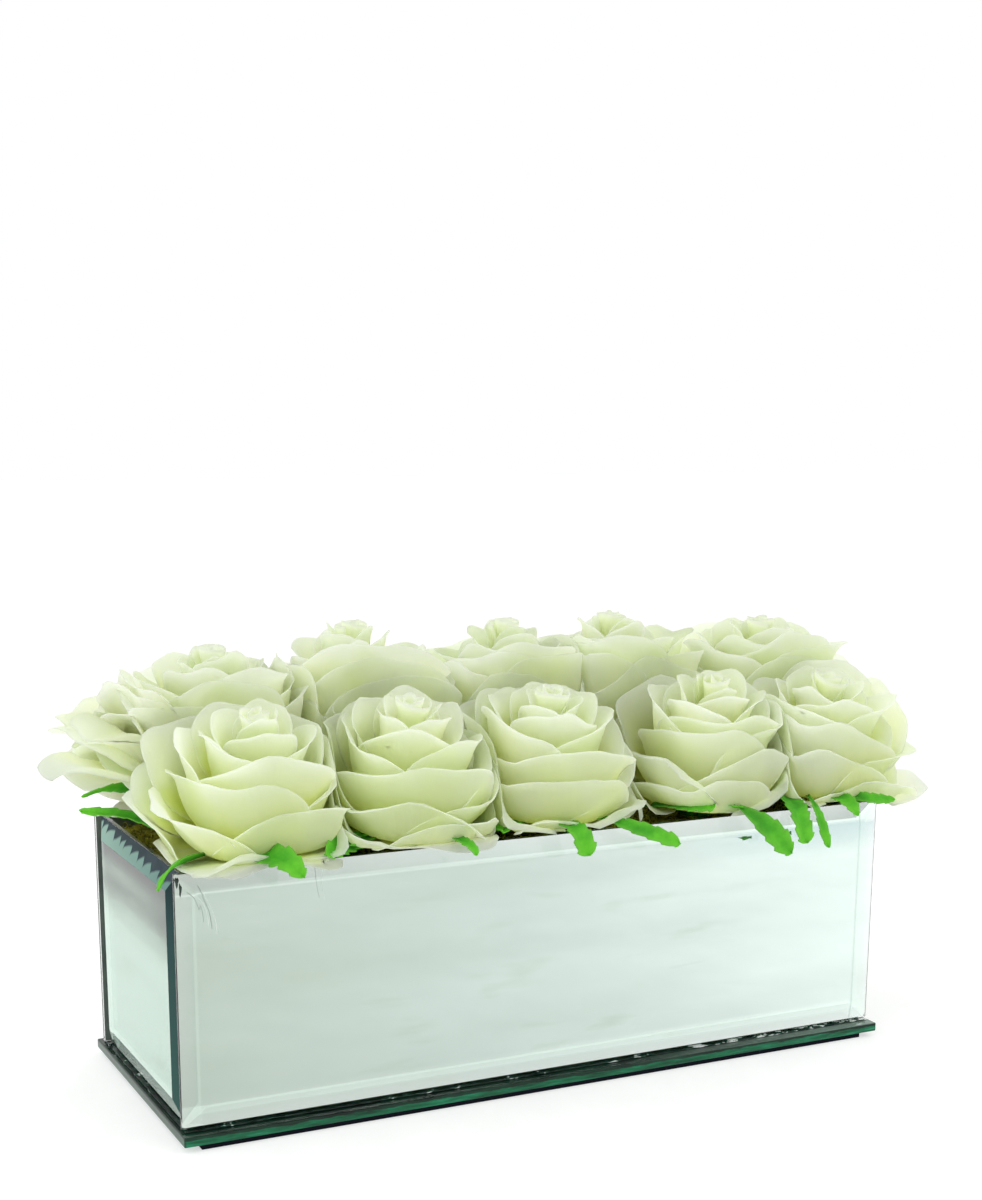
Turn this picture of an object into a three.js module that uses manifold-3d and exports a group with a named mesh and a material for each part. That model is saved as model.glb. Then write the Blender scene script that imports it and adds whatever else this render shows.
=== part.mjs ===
// A flower box: a trough of bevelled mirror glass on a thicker glass foot plate, holding a block of
// dry floral foam under a moss mat, with two rows of fabric roses pushed into the foam on short stems.
// Millimetres, +Z up. The origin is the centre of the felt pad's underside. +X runs along the trough
// and -Y is its front.

import * as THREE from "three";
import { mergeVertices } from "three/addons/utils/BufferGeometryUtils.js";
import Module from "manifold-3d";

const wasm = await Module();
wasm.setup();

// ---- driving dimensions ----

const GAP = 0.3; // clearance between pieces that touch
const TROUGH = { length: 300.5, width: 113, height: 94 }; // outside of the four mirror panels
const GLASS = { thickness: 4.5, edge: 1.8, bevelWidth: 8.3 }; // edge is what the bevel leaves standing
const FELT = { thickness: 2, insetX: 7, insetY: 2 }; // insets from the foot plate's edges
const PLATE = { thickness: 4, overhangX: 1, overhangY: 3.5 }; // past the panels
const SEAM = { thickness: 0.4, width: 3.2, inset: 0.8 }; // glue line between foot plate and panels
const CORNER_BEAD = 3; // leg of the glue bead in each inner corner
const FOAM = { top: 88, chamfer: 4.5 };
const MOSS = { thickness: 7.5 };
const STEM = { radius: 2.2, bottom: 26, sides: 12 };
const CALYX = { hubRadius: 8, hubHeight: 4.6, sepal: 28, waist: 9, thickness: 1.2, sepals: 5 };
const HEAD_SIDES = 20; // facets round a flower head

// Each row of roses runs along X at its own Y. top is the height of a head's highest point, and left,
// right and outward are how far its outer petals spread past the stem: to -X, to +X, and away from the
// other row.
const FRONT_ROW = {
  name: "front",
  side: -1,
  y: -26,
  calyxTop: 102.8,
  roses: [
    { x: -113, top: 153, left: 55, right: 44, outward: 43 },
    { x: -54, top: 154, left: 44, right: 44, outward: 42 },
    { x: 4, top: 155, left: 44, right: 44, outward: 41 },
    { x: 78, top: 155, left: 44, right: 44, outward: 41 },
    { x: 132, top: 153, left: 44, right: 55, outward: 43 },
  ],
};
const BACK_ROW = {
  name: "back",
  side: 1,
  y: 26,
  calyxTop: 108,
  roses: [
    { x: -106, top: 169, left: 76, right: 44, outward: 44 },
    { x: -50, top: 175, left: 44, right: 44, outward: 43 },
    { x: 18, top: 173, left: 44, right: 44, outward: 43 },
    { x: 68, top: 174, left: 44, right: 44, outward: 43 },
    { x: 142, top: 170, left: 44, right: 54, outward: 44 },
  ],
};

// Half profiles of a flower head, from the axis outwards: [share of the reach, share of the height].
const OUTER_PETALS = [[0, 0], [0.45, 0], [0.86, 0.05], [1, 0.15], [0.97, 0.27], [0.83, 0.46], [0, 0.46]];
const INNER_PETALS = [[0, 0.47], [0.78, 0.47], [0.72, 0.66], [0.52, 0.86], [0.26, 0.98], [0, 1]];

// ---- worked out from the above ----

const plateTop = FELT.thickness + PLATE.thickness;
const panelBottom = plateTop + SEAM.thickness + 2 * GAP;
const plateLength = TROUGH.length + 2 * PLATE.overhangX;
const plateWidth = TROUGH.width + 2 * PLATE.overhangY;
const innerLength = TROUGH.length - 2 * GLASS.thickness;
const innerWidth = TROUGH.width - 2 * GLASS.thickness;
const foamBottom = plateTop + GAP;
const mossBottom = FOAM.top + GAP;
const mossTop = mossBottom + MOSS.thickness;

// ---- materials ----

function surface(color, roughness, metalness = 0) {
  return new THREE.MeshStandardMaterial({ color, roughness, metalness });
}

const mirrorGlass = surface(0xd9e8de, 0.06, 0.9);
const greenGlass = surface(0x2a694b, 0.12);
const blackFelt = surface(0x1a1d24, 0.95);
const clearGlue = surface(0x39423f, 0.3);
const dryFoam = surface(0x5c6b3a, 0.95);
const driedMoss = surface(0x6a6a22, 0.95);
const stemGreen = surface(0x3f7a2b, 0.6);
const sepalGreen = surface(0x4fae22, 0.7);
const creamFabric = surface(0xeef0c9, 0.85);

// ---- geometry helpers ----

function toSolid(geometry) {
  const bare = geometry.clone();
  bare.deleteAttribute("normal");
  bare.deleteAttribute("uv");
  const merged = mergeVertices(bare, 1e-4);
  return new wasm.Manifold(
    new wasm.Mesh({
      numProp: 3,
      vertProperties: new Float32Array(merged.getAttribute("position").array),
      triVerts: new Uint32Array(merged.index.array),
    }),
  );
}

function toGeometry(solid) {
  const mesh = solid.getMesh();
  const geometry = new THREE.BufferGeometry();
  geometry.setAttribute("position", new THREE.BufferAttribute(mesh.vertProperties, 3));
  geometry.setIndex(new THREE.BufferAttribute(mesh.triVerts, 1));
  geometry.computeVertexNormals();
  return geometry;
}

function box(sizeX, sizeY, sizeZ, x, y, bottom) {
  return new THREE.BoxGeometry(sizeX, sizeY, sizeZ).translate(x, y, bottom + sizeZ / 2);
}

function rod(radius, bottom, top, sides, x, y) {
  return new THREE.CylinderGeometry(radius, radius, top - bottom, sides)
    .rotateX(Math.PI / 2)
    .translate(x, y, (bottom + top) / 2);
}

function lathe(profile, sides) {
  const points = profile.map(([r, z]) => new THREE.Vector2(r, z));
  return new THREE.LatheGeometry(points, sides).rotateX(Math.PI / 2);
}

// A rectangle with its corners cut off, extruded upwards.
function chamferedBlock(length, width, chamfer, bottom, height) {
  const [x, y] = [length / 2, width / 2];
  const outline = new THREE.Shape();
  outline.moveTo(-x + chamfer, -y);
  outline.lineTo(x - chamfer, -y);
  outline.lineTo(x, -y + chamfer);
  outline.lineTo(x, y - chamfer);
  outline.lineTo(x - chamfer, y);
  outline.lineTo(-x + chamfer, y);
  outline.lineTo(-x, y - chamfer);
  outline.lineTo(-x, -y + chamfer);
  const block = new THREE.ExtrudeGeometry(outline, { depth: height, bevelEnabled: false });
  return block.translate(0, 0, bottom);
}

// A mirror panel lying in XY with its silvered back at z = 0: full size up to the edge thickness,
// then narrowing along the bevel to the flat face.
function bevelledPanel(length, height) {
  const { thickness, edge, bevelWidth } = GLASS;
  const levels = [[0, 0], [0, edge], [bevelWidth, thickness]];
  const corners = [[-1, -1], [1, -1], [1, 1], [-1, 1]];
  const positions = levels.flatMap(([inset, z]) =>
    corners.flatMap(([sx, sy]) => [sx * (length / 2 - inset), sy * (height / 2 - inset), z]),
  );
  const indices = [0, 2, 1, 0, 3, 2, 8, 9, 10, 8, 10, 11];
  for (const ring of [0, 4]) {
    for (let i = 0; i < 4; i += 1) {
      const [a, b] = [ring + i, ring + ((i + 1) % 4)];
      indices.push(a, b, b + 4, a, b + 4, a + 4);
    }
  }
  const geometry = new THREE.BufferGeometry();
  geometry.setAttribute("position", new THREE.Float32BufferAttribute(positions, 3));
  geometry.setIndex(indices);
  return geometry;
}

// ---- trough ----

const flowerBox = new THREE.Group();

function addPiece(name, geometry, material) {
  const piece = new THREE.Mesh(geometry, material.clone());
  piece.name = name;
  flowerBox.add(piece);
  return piece;
}

function addFoot() {
  const feltLength = plateLength - 2 * FELT.insetX;
  const feltWidth = plateWidth - 2 * FELT.insetY;
  addPiece("felt_pad", box(feltLength, feltWidth, FELT.thickness, 0, 0, 0), blackFelt);
  const plate = box(plateLength, plateWidth, PLATE.thickness - GAP, 0, 0, FELT.thickness + GAP);
  addPiece("foot_plate", plate, greenGlass);
}

// The front and back panels run the full length, and the end panels stand between them.
function addPanels() {
  const middle = panelBottom + TROUGH.height / 2;
  const endLength = innerWidth - 2 * GAP;
  const panels = [
    { name: "front_panel", length: TROUGH.length, turn: 0, x: 0, y: -innerWidth / 2 },
    { name: "right_panel", length: endLength, turn: Math.PI / 2, x: innerLength / 2, y: 0 },
    { name: "back_panel", length: TROUGH.length, turn: Math.PI, x: 0, y: innerWidth / 2 },
    { name: "left_panel", length: endLength, turn: -Math.PI / 2, x: -innerLength / 2, y: 0 },
  ];
  for (const { name, length, turn, x, y } of panels) {
    const upright = bevelledPanel(length, TROUGH.height).rotateX(Math.PI / 2);
    const panel = addPiece(name, upright, mirrorGlass);
    panel.rotation.z = turn;
    panel.position.set(x, y, middle);
  }
}

function addSeamGlue() {
  const bottom = plateTop + GAP;
  const alongY = TROUGH.width / 2 - SEAM.inset - SEAM.width / 2;
  const alongX = TROUGH.length / 2 - SEAM.inset - SEAM.width / 2;
  const longRun = TROUGH.length - 2 * SEAM.inset;
  const shortRun = TROUGH.width - 2 * (SEAM.inset + SEAM.width + GAP);
  const runs = [
    ["front", longRun, SEAM.width, 0, -alongY],
    ["back", longRun, SEAM.width, 0, alongY],
    ["left", SEAM.width, shortRun, -alongX, 0],
    ["right", SEAM.width, shortRun, alongX, 0],
  ];
  for (const [side, sizeX, sizeY, x, y] of runs) {
    addPiece(`seam_glue_${side}`, box(sizeX, sizeY, SEAM.thickness, x, y, bottom), clearGlue);
  }
}

// A three-sided bead of glue stands in each inner corner of the trough.
function addCornerGlue() {
  const height = FOAM.top - panelBottom;
  const corners = [
    ["front", "left", -1, -1],
    ["front", "right", 1, -1],
    ["back", "left", -1, 1],
    ["back", "right", 1, 1],
  ];
  for (const [row, end, sx, sy] of corners) {
    const x = sx * (innerLength / 2 - GAP);
    const y = sy * (innerWidth / 2 - 2 * GAP);
    const outline = new THREE.Shape();
    outline.moveTo(x, y);
    outline.lineTo(x - sx * CORNER_BEAD, y);
    outline.lineTo(x, y - sy * CORNER_BEAD);
    const bead = new THREE.ExtrudeGeometry(outline, { depth: height, bevelEnabled: false });
    addPiece(`corner_glue_${row}_${end}`, bead.translate(0, 0, panelBottom), clearGlue);
  }
}

// ---- filling ----

function stemHoles(bottom, top) {
  const holes = [];
  for (const row of [FRONT_ROW, BACK_ROW]) {
    for (const rose of row.roses) {
      holes.push(toSolid(rod(STEM.radius + GAP, bottom, top, STEM.sides, rose.x, row.y)));
    }
  }
  return holes;
}

function addFilling() {
  const clearLength = innerLength - 4 * GAP;
  const clearWidth = innerWidth - 4 * GAP;
  let foam = toSolid(
    chamferedBlock(clearLength, clearWidth, FOAM.chamfer, foamBottom, FOAM.top - foamBottom),
  );
  for (const hole of stemHoles(STEM.bottom - GAP, FOAM.top + 1)) {
    foam = foam.subtract(hole);
  }
  addPiece("foam_block", toGeometry(foam), dryFoam);
  let moss = toSolid(
    chamferedBlock(clearLength, clearWidth, FOAM.chamfer, mossBottom, MOSS.thickness),
  );
  for (const hole of stemHoles(mossBottom - 1, mossTop + 1)) {
    moss = moss.subtract(hole);
  }
  addPiece("moss_mat", toGeometry(moss), driedMoss);
}

// ---- roses ----

// The upright column that a rose has to itself: halfway to its neighbours, and its own side of Y = 0.
function columnOf(row, index) {
  const { x, left, right, outward } = row.roses[index];
  const before = row.roses[index - 1];
  const after = row.roses[index + 1];
  const low = before ? (before.x + x) / 2 + GAP / 2 : x - left - 1;
  const high = after ? (x + after.x) / 2 - GAP / 2 : x + right + 1;
  const depth = Math.abs(row.y) + outward;
  const y = row.side * (GAP / 2 + depth / 2);
  return toSolid(box(high - low, depth, 200, (low + high) / 2, y, 0));
}

// A body of rotation, stretched by how far the petals reach to each side of the stem.
function headPart(profile, row, rose) {
  const bottom = row.calyxTop + GAP;
  const height = rose.top - bottom;
  const part = lathe(profile.map(([r, z]) => [r, bottom + z * height]), HEAD_SIDES);
  const position = part.getAttribute("position");
  for (let i = 0; i < position.count; i += 1) {
    const x = position.getX(i) * (position.getX(i) < 0 ? rose.left : rose.right);
    position.setXY(i, x, position.getY(i) * rose.outward);
  }
  return part.translate(rose.x, row.y, 0);
}

// The cup that holds the petals, with pointed sepals spread out from its top.
function calyx(row, rose, turn) {
  const { hubRadius, hubHeight, sepal, waist, thickness, sepals } = CALYX;
  const star = new THREE.Shape();
  for (let i = 0; i < 2 * sepals; i += 1) {
    const radius = i % 2 ? waist : sepal;
    const angle = turn + (i * Math.PI) / sepals;
    const point = [radius * Math.cos(angle), radius * Math.sin(angle)];
    if (i) star.lineTo(...point);
    else star.moveTo(...point);
  }
  const leaves = new THREE.ExtrudeGeometry(star, { depth: thickness, bevelEnabled: false });
  leaves.translate(rose.x, row.y, row.calyxTop - thickness);
  const cup = lathe([[0, 0], [STEM.radius + 1, 0], [hubRadius, hubHeight], [0, hubHeight]], STEM.sides);
  cup.translate(rose.x, row.y, row.calyxTop - hubHeight - thickness / 2);
  return toSolid(cup).add(toSolid(leaves));
}

function addRoses(row) {
  row.roses.forEach((rose, index) => {
    const name = `rose_${row.name}_${index + 1}`;
    const column = columnOf(row, index);
    const stemTop = row.calyxTop - CALYX.hubHeight - CALYX.thickness / 2 - GAP;
    const stem = rod(STEM.radius, STEM.bottom, stemTop, STEM.sides, rose.x, row.y);
    const turn = index * 0.9 + (row.side > 0 ? 0.4 : 0);
    const outer = toSolid(headPart(OUTER_PETALS, row, rose)).intersect(column);
    const inner = toSolid(headPart(INNER_PETALS, row, rose)).intersect(column);
    addPiece(`${name}_stem`, stem, stemGreen);
    addPiece(`${name}_calyx`, toGeometry(calyx(row, rose, turn).intersect(column)), sepalGreen);
    addPiece(`${name}_outer_petals`, toGeometry(outer), creamFabric);
    addPiece(`${name}_inner_petals`, toGeometry(inner), creamFabric);
  });
}

addFoot();
addPanels();
addSeamGlue();
addCornerGlue();
addFilling();
addRoses(FRONT_ROW);
addRoses(BACK_ROW);

export default flowerBox;
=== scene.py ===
"""Looks of the flower box: bevelled mirror glass, a green glass foot, moss and layered fabric roses.

Lengths are in millimetres in the row frame until they go into a mesh, which is in metres.
"""

from collections import namedtuple
import math

import bpy
import numpy as np
from mathutils import Matrix, Vector, noise


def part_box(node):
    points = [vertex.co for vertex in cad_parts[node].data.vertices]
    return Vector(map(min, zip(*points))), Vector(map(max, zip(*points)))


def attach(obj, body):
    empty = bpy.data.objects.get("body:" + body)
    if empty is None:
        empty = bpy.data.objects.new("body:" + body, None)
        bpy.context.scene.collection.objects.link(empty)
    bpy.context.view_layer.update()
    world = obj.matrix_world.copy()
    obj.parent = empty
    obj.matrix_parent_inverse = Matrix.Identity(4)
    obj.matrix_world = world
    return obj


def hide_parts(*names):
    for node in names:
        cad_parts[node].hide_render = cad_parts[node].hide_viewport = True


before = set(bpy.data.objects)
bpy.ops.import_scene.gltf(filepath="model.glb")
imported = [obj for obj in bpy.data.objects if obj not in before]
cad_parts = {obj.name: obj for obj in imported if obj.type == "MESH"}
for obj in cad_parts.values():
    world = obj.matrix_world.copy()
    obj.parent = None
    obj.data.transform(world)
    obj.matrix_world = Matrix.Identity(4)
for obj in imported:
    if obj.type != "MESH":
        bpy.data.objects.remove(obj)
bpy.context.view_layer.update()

MM = 0.001
FRONT, BACK = -1, 1
PI = math.pi


def cad_box(node):
    """Lowest and highest corner of a CAD node, in millimetres."""
    low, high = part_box(node)
    return np.array(low) / MM, np.array(high) / MM


FRONT_LOW, FRONT_HIGH = cad_box("front_panel")
BACK_LOW, BACK_HIGH = cad_box("back_panel")
LEFT_LOW, LEFT_HIGH = cad_box("left_panel")
PLATE_LOW, PLATE_HIGH = cad_box("foot_plate")
MOSS_LOW, MOSS_HIGH = cad_box("moss_mat")
RIM = FRONT_HIGH[2]
PANEL_BOTTOM = FRONT_LOW[2]
HALF_LENGTH = FRONT_HIGH[0]
HALF_WIDTH = BACK_HIGH[1]
GLASS = FRONT_HIGH[1] - FRONT_LOW[1]


# ---- small maths ----

def smooth(x):
    x = np.clip(x, 0.0, 1.0)
    return x * x * (3.0 - 2.0 * x)


def wander(points, scale, seed):
    """Smooth noise in -1..1 for an array of points, one value each."""
    offset = Vector((seed * 17.3, seed * 5.1, seed * 9.7))
    flat = points.reshape(-1, 3) / scale
    values = [noise.noise(Vector(p) + offset) for p in flat]
    return np.array(values).reshape(points.shape[:-1])


def linear(red, green, blue):
    """A colour given as 0-255 screen values, for a shader socket."""
    channel = [c / 255.0 for c in (red, green, blue)]
    curve = [c / 12.92 if c <= 0.04045 else ((c + 0.055) / 1.055) ** 2.4 for c in channel]
    return (*curve, 1.0)


def as_colour(value):
    """Three screen values become a colour; a socket or a ready colour stays what it is."""
    return linear(*value) if isinstance(value, tuple) and len(value) == 3 else value


# ---- materials ----

class Nodes:
    """A material's node tree with short calls for the nodes used here."""

    def __init__(self, name):
        self.material = bpy.data.materials.new(name)
        self.material.use_nodes = True
        self.tree = self.material.node_tree
        self.tree.nodes.clear()
        self.output = self.tree.nodes.new("ShaderNodeOutputMaterial")

    def add(self, kind, links=None, **settings):
        node = self.tree.nodes.new(kind)
        for key, value in settings.items():
            setattr(node, key, value)
        for socket, value in (links or {}).items():
            self.feed(node.inputs[socket], value)
        return node

    def feed(self, socket, value):
        if isinstance(value, bpy.types.NodeSocket):
            self.tree.links.new(value, socket)
        else:
            socket.default_value = value

    def principled(self, **sockets):
        names = {key.replace("_", " "): value for key, value in sockets.items()}
        return self.add("ShaderNodeBsdfPrincipled", names)

    def stretch(self, vector, scale):
        return self.add("ShaderNodeMapping", {"Vector": vector, "Scale": scale}).outputs["Vector"]

    def position(self, scale=(1, 1, 1)):
        """The place in the object's own space, in metres times the scale along each axis."""
        return self.stretch(self.add("ShaderNodeTexCoord").outputs["Object"], scale)

    def axes(self):
        """The object's own x, y and z, in metres."""
        return self.add("ShaderNodeSeparateXYZ", {"Vector": self.position()}).outputs

    def noise_on(self, vector, detail=3.0, roughness=0.5):
        links = {"Vector": vector, "Scale": 1.0, "Detail": detail, "Roughness": roughness}
        return self.add("ShaderNodeTexNoise", links).outputs["Fac"]

    def noise(self, across, detail=3.0, roughness=0.5, upright=None):
        """Noise with so many spots in a metre, level and (where it differs) upright."""
        return self.noise_on(self.position((across, across, upright or across)), detail, roughness)

    def attribute(self, name):
        return self.add("ShaderNodeAttribute", attribute_name=name).outputs["Fac"]

    def ramp(self, factor, stops):
        node = self.add("ShaderNodeValToRGB", {"Fac": factor})
        elements = node.color_ramp.elements
        for end in (0, -1):
            elements[end].position, elements[end].color = stops[end][0], as_colour(stops[end][1])
        for place, colour in stops[1:-1]:
            elements.new(place).color = as_colour(colour)
        return node.outputs["Color"]

    def two_tones(self, noise_value, low, high):
        return self.ramp(noise_value, [(0.3, low), (0.7, high)])

    def range(self, value, low, high, new_low=0.0, new_high=1.0):
        """A value from low to high, brought to run from new_low to new_high and held at those ends."""
        links = {"Value": value, "From Min": low, "From Max": high, "To Min": new_low, "To Max": new_high}
        return self.add("ShaderNodeMapRange", links).outputs["Result"]

    def mix(self, factor, first, second):
        node = self.add("ShaderNodeMix", data_type="RGBA")
        self.feed(node.inputs["Factor"], factor)
        self.feed(node.inputs[6], as_colour(first))
        self.feed(node.inputs[7], as_colour(second))
        return node.outputs[2]

    def math(self, operation, first, second=0.0):
        node = self.add("ShaderNodeMath", operation=operation)
        self.feed(node.inputs[0], first)
        self.feed(node.inputs[1], second)
        return node.outputs[0]

    def times(self, first, second):
        return self.math("MULTIPLY", first, second)

    def one_less(self, value):
        return self.math("SUBTRACT", 1.0, value)

    def bump(self, height, strength, distance, **links):
        links = {"Height": height, "Strength": strength, "Distance": distance, **links}
        return self.add("ShaderNodeBump", links).outputs["Normal"]

    def let_through(self, cloth, share, **links):
        """Cloth that lets a share of the light through."""
        glow = self.add("ShaderNodeBsdfTranslucent", links)
        return self.add("ShaderNodeMixShader", {0: share, 1: cloth.outputs[0], 2: glow.outputs[0]})

    def finish(self, shader, volume=None):
        self.tree.links.new(shader.outputs[0], self.output.inputs["Surface"])
        if volume is not None:
            self.tree.links.new(volume.outputs[0], self.output.inputs["Volume"])
        return self.material

    def surface(self, **sockets):
        """The finished material, where it is one principled shader."""
        return self.finish(self.principled(**sockets))


CRUMB_LOT = -1.0  # marks the moss crumbs that lie on petals
FRAY_AND_HIGHLIGHT_SHARE = 0.7  # how much of the pale colour a petal's rim takes on: frayed cut edge and painted highlight
PETAL_GLOW, SEPAL_GLOW = 0.8, 0.25  # the share of the light that the cloth lets through
PETAL_WEAVE, SEPAL_WEAVE = 2600, 2200  # threads in a metre, roughly


def petal_material():
    """Cream cloth: deeper yellow-green at the root, paler and slightly green towards the edge, a
    whitish rim that is partly the frayed cut edge and partly painted highlight, pressed creases along
    the petal and a fine weave."""
    n = Nodes("petal_cloth")
    along = n.attribute("along")
    edge = n.attribute("edge")
    lot = n.attribute("lot")
    blotch = n.noise(60, 4.0)
    tone = n.math("ADD", along, n.range(blotch, 0.3, 0.7, -0.1, 0.1))
    body = n.ramp(tone, [
        (0.0, (253, 255, 84)),
        (0.3, (253, 255, 178)),
        (0.6, (252, 255, 226)),
        (0.95, (252, 254, 245)),
    ])
    varied = n.mix(n.range(lot, 0, 1, 0.0, 0.3), body, (240, 250, 214))
    # The pale rim is partly the frayed cut edge and partly a painted highlight where the rim catches the
    # light.
    frayed_and_highlighted = n.mix(n.times(edge, FRAY_AND_HIGHLIGHT_SHARE), varied, (252, 254, 249))
    colour = n.mix(n.range(lot, -0.4, CRUMB_LOT), frayed_and_highlighted, (92, 70, 34))
    on_petal = n.add("ShaderNodeUVMap", uv_map="petal").outputs["UV"]
    crease = n.noise_on(n.stretch(on_petal, (9, 1.2, 1)))
    weave = n.noise(PETAL_WEAVE, 2.0)
    relief = n.bump(weave, 0.25, 0.00012)
    pressed = n.bump(crease, 0.55, 0.001, Normal=relief)
    cloth = n.principled(
        Base_Color=colour, Roughness=0.82, Specular_IOR_Level=0.25, Sheen_Weight=0.25,
        Sheen_Roughness=0.5, Normal=pressed,
    )
    return n.finish(n.let_through(cloth, PETAL_GLOW, Color=colour, Normal=pressed))


def sepal_material():
    """Leaf green cloth, darker at the root and paler along the edge, with a weave."""
    n = Nodes("sepal_cloth")
    along = n.attribute("along")
    edge = n.attribute("edge")
    blotch = n.noise(180)
    tone = n.math("ADD", along, n.range(blotch, 0.3, 0.7, -0.2, 0.2))
    body = n.ramp(tone, [
        (0.1, (34, 120, 24)),
        (0.6, (72, 176, 34)),
        (1.0, (104, 206, 44)),
    ])
    colour = n.mix(n.times(edge, 0.35), body, (150, 220, 84))
    weave = n.noise(SEPAL_WEAVE, 2.0)
    relief = n.bump(weave, 0.4, 0.00015)
    cloth = n.principled(Base_Color=colour, Roughness=0.7, Specular_IOR_Level=0.3, Normal=relief)
    return n.finish(n.let_through(cloth, SEPAL_GLOW, Color=colour))


GLASS_IOR = 1.52
GLASS_DENSITY = 60.0  # how fast the clear glass takes on its green tint with depth


def glass_material():
    """Clear float glass with a faint green tint."""
    n = Nodes("mirror_glass")
    glass = n.principled(
        Base_Color=(1, 1, 1, 1), Roughness=0.0, IOR=GLASS_IOR, Transmission_Weight=1.0,
    )
    tint = {"Color": linear(206, 240, 222), "Density": GLASS_DENSITY}
    return n.finish(glass, n.add("ShaderNodeVolumeAbsorption", tint))


BEVEL_WIDTH = 8.3
BEVEL_EDGE = 1.8  # how thick a panel is along its outline, where its bevel ends
COAT = 0.25  # silver and paint together
TOOTH_PITCH = 8.7
REFLECTION_SHEET_GAP, REFLECTION_SHEET_INSET = 0.12, 0.3  # of the sheets of painted dark reflection on the end panels: off the glass, from its outline
LINE = 0.0007  # width of the painted lines where a bevel meets the flat face, the bright one a painted highlight, in metres
PATCH_DROP = 0.013  # how far the bluish patch of painted reflection reaches down from the top bevel, in metres
# How much of each painted reflection and highlight the silver takes on.
STREAK_SHARE, TOP_SHARE, PATCH_SHARE, SIDE_SHARE, BOTTOM_SHARE = 0.3, 0.7, 0.5, 0.15, 0.35
LINE_SHARE, SIDE_LINE_SHARE = 0.4, 0.5


def silver_material(name, along, low, high, stops, half_length):
    """The mirror layer behind the glass: its tone drifts across it as a painted reflection, with faint
    level streaks. It looks paler behind the bevels as painted reflection, and the top one goes from grey
    to white along the panel, with a bluish patch of painted reflection under its white end; painted lines
    mark where the bevels meet the flat face."""
    n = Nodes(name)
    haze = n.range(n.noise(8, 2.0, upright=30), 0.35, 0.7, 0.0, 0.012)
    split = n.axes()
    cloud = n.noise(7, 1.5, 0.4, upright=46)
    # The tone that drifts along the long panels and up the end panels is a painted reflection.
    shade = n.math("ADD", n.range(split[along], low, high), n.range(cloud, 0.3, 0.7, -0.1, 0.1))
    tone = n.ramp(shade, stops)
    streak = n.noise(26, 2.0, upright=150)
    far_end = n.range(split["X"], 0.05, 0.12)
    streaks = n.times(n.range(streak, 0.58, 0.76, 0.0, STREAK_SHARE), n.one_less(far_end))
    streaked = n.mix(streaks, tone, (190, 196, 178))

    flat_half_height = ((RIM - PANEL_BOTTOM) / 2 - BEVEL_WIDTH) * MM
    flat_half_length = (half_length - BEVEL_WIDTH) * MM
    over_top = n.math("SUBTRACT", split["Z"], flat_half_height)
    under_bottom = n.math("SUBTRACT", -flat_half_height, split["Z"])
    past_side = n.math("SUBTRACT", n.math("ABSOLUTE", split["X"]), flat_half_length)
    mitre = n.math("SUBTRACT", over_top, past_side)
    past_top_line = n.range(over_top, 0, LINE)
    top = n.times(past_top_line, n.range(mitre, 0, LINE))
    side = n.times(n.range(past_side, 0, LINE), n.range(mitre, 0, -LINE))
    line = n.one_less(n.range(n.math("ABSOLUTE", over_top), 0, LINE))
    side_line = n.one_less(n.range(n.math("ABSOLUTE", past_side), 0, LINE))
    patch = n.times(n.range(over_top, -PATCH_DROP, -LINE), n.one_less(past_top_line))
    at_far_end = n.range(far_end, 0, 1, 0.0, PATCH_SHARE)
    line_at_far_end = n.range(far_end, 0, 1, 0.0, SIDE_LINE_SHARE)

    # Painted reflections behind the bevels: a top band from grey to white, a bluish patch under its white
    # end, paler sides and bottom; a bright painted highlight line and a grey painted line where the bevels
    # begin.
    band = n.ramp(n.range(split["X"], -0.15, 0.15), [
        (0.0, (190, 192, 190)),
        (0.45, (246, 248, 248)),
        (0.9, (255, 255, 255)),
    ])
    colour = n.mix(n.times(top, TOP_SHARE), streaked, band)
    colour = n.mix(n.times(patch, at_far_end), colour, (186, 202, 214))
    colour = n.mix(n.times(side, SIDE_SHARE), colour, (236, 250, 242))
    colour = n.mix(n.range(under_bottom, 0, LINE, 0.0, BOTTOM_SHARE), colour, (246, 255, 250))
    colour = n.mix(n.times(line, LINE_SHARE), colour, (252, 252, 252))
    colour = n.mix(n.times(side_line, line_at_far_end), colour, (190, 206, 202))
    return n.surface(Base_Color=colour, Metallic=1.0, Roughness=haze)


def bevel_shade_material():
    """What an end panel's bevels show, as painted dark reflection. The top one (lot below 0) is slate at
    the rim, with dark teeth into teal; the front one darkens upwards."""
    n = Nodes("bevel_shade")
    rim = n.attribute("edge")
    along = n.attribute("along")
    to_front = n.range(along, -HALF_WIDTH / TOOTH_PITCH, HALF_WIDTH / TOOTH_PITCH)
    wobble = n.range(n.noise(50, 2.0), 0.3, 0.7, 0.0, 0.8)
    tooth = n.math("POWER", n.math("FRACT", n.math("ADD", along, wobble)), 0.45)
    reach = n.math("ADD", n.times(rim, 1.9), n.range(to_front, 0, 1, -0.75, 0.1))
    dark = n.range(n.math("SUBTRACT", reach, tooth), -0.1, 0.12)
    side = n.attribute("lot")
    grain = n.noise(160)
    slate = n.mix(grain, (30, 44, 52), (56, 72, 79))
    teal = n.mix(to_front, (146, 176, 166), (88, 124, 118))
    comb = n.mix(dark, teal, slate)
    plain = n.ramp(side, [
        (0.0, (54, 86, 80)),
        (0.75, (42, 68, 68)),
        (1.0, (22, 38, 42)),
    ])
    colour = n.mix(n.range(side, -0.5, -0.4), comb, plain)
    return n.surface(Base_Color=colour, Roughness=0.5, Specular_IOR_Level=0.05)


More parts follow.
